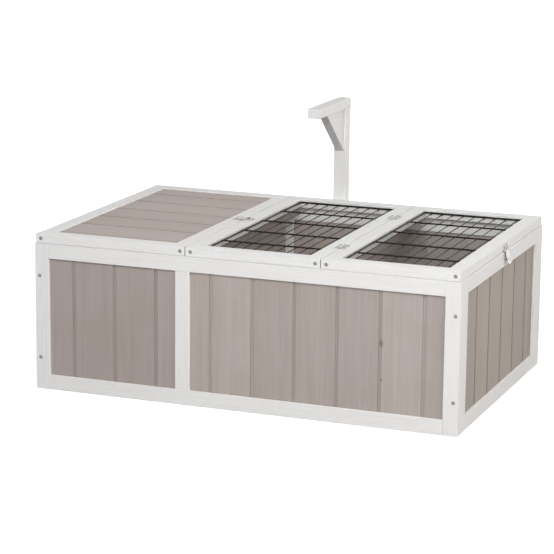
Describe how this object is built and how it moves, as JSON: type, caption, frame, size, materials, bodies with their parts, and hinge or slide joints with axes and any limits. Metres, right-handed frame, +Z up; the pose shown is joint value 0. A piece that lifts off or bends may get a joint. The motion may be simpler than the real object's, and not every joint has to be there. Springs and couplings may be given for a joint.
{
  "type": "rabbit hutch",
  "caption": "Low boarded timber hutch: boarded lid left, mesh lids middle and right, turn-knob latches, and a lamp bracket on a post behind.",
  "frame": {"origin": "on the ground under the centre of the carcass, on the underside of the middle floor batten", "axes": "+X to the right along the front, +Y to the rear, towards the lamp post, +Z up"},
  "size_m": [0.9299, 0.638, 0.555],
  "materials": {
    "white_paint": "satin white paint on sawn softwood",
    "stained_boards": "thin grey-brown stain, grain showing",
    "bare_wood": "thin stain, matt",
    "coated_wire": "dark coated welded wire",
    "zinc_steel": "bright zinc plate",
    "dark_screws": "dark plated steel"
  },
  "bodies": {
    "carcass": {"front_left_stile": "white_paint", "front_right_stile": "white_paint", "front_mullion": "white_paint", "front_top_rail": "white_paint", "front_bottom_rail": "white_paint", "front_left_boards": "stained_boards", "front_right_boards": "stained_boards", "rear_left_stile": "white_paint", "rear_right_stile": "white_paint", "rear_mullion": "white_paint", "rear_top_rail": "white_paint", "rear_bottom_rail": "white_paint", "rear_left_boards": "stained_boards", "rear_right_boards": "stained_boards", "left_front_stile": "white_paint", "left_rear_stile": "white_paint", "left_top_rail": "white_paint", "left_bottom_rail": "white_paint", "left_boards": "stained_boards", "right_front_stile": "white_paint", "right_rear_stile": "white_paint", "right_top_rail": "white_paint", "right_bottom_rail": "white_paint", "right_boards": "stained_boards", "partition_boards": "bare_wood", "partition_cleats": "bare_wood", "floor_boards": "bare_wood", "floor_battens": "bare_wood", "lamp_post": "white_paint", "lamp_arm": "white_paint", "lamp_brace": "white_paint", "middle_lid_front_rail": "white_paint", "middle_lid_rear_rail": "white_paint", "middle_lid_left_stile": "white_paint", "middle_lid_right_stile": "white_paint", "middle_lid_mesh": "coated_wire", "hinge_fixed_leaves": "zinc_steel", "hinge_pins": "zinc_steel", "hasp_keepers": "zinc_steel", "carcass_screws": "dark_screws"},
    "left_lid": {"left_lid_front_rail": "white_paint", "left_lid_rear_rail": "white_paint", "left_lid_left_stile": "white_paint", "left_lid_right_stile": "white_paint", "left_lid_boards": "stained_boards", "left_lid_screws": "dark_screws", "left_hinge_leaves": "zinc_steel", "left_hasp_base": "zinc_steel"},
    "right_lid": {"right_lid_front_rail": "white_paint", "right_lid_rear_rail": "white_paint", "right_lid_left_stile": "white_paint", "right_lid_right_stile": "white_paint", "right_lid_mesh": "coated_wire", "right_lid_screws": "dark_screws", "right_hinge_leaves": "zinc_steel", "right_hasp_base": "zinc_steel"},
    "left_strap": {"left_hasp_strap": "zinc_steel"},
    "left_knob": {"left_hasp_knob": "zinc_steel"},
    "right_strap": {"right_hasp_strap": "zinc_steel"},
    "right_knob": {"right_hasp_knob": "zinc_steel"}
  },
  "joints": [
    {"name": "left_lid_hinge", "type": "hinge", "parent": "carcass", "child": "left_lid", "pos_m": [-0.4598, 0, 0.30975], "axis": [0, -1, 0], "range_deg": [0, 170]},
    {"name": "right_lid_hinge", "type": "hinge", "parent": "carcass", "child": "right_lid", "pos_m": [0.1685, 0, 0.3313], "axis": [0, -1, 0], "range_deg": [0, 120]},
    {"name": "left_strap_hinge", "type": "hinge", "parent": "left_lid", "child": "left_strap", "pos_m": [-0.1295, 0.01, 0.331], "axis": [0, -1, 0], "range_deg": [0, 150]},
    {"name": "right_strap_hinge", "type": "hinge", "parent": "right_lid", "child": "right_strap", "pos_m": [0.4595, 0.01, 0.3125], "axis": [0, -1, 0], "range_deg": [-16, 134]},
    {"name": "left_knob_turn", "type": "hinge", "parent": "carcass", "child": "left_knob", "pos_m": [-0.1095, 0.01, 0.333], "axis": [0, 0, 1], "range_deg": [0, 90]},
    {"name": "right_knob_turn", "type": "hinge", "parent": "carcass", "child": "right_knob", "pos_m": [0.4615, 0.01, 0.2925], "axis": [1, 0, 0], "range_deg": [0, 90]}
  ]
}
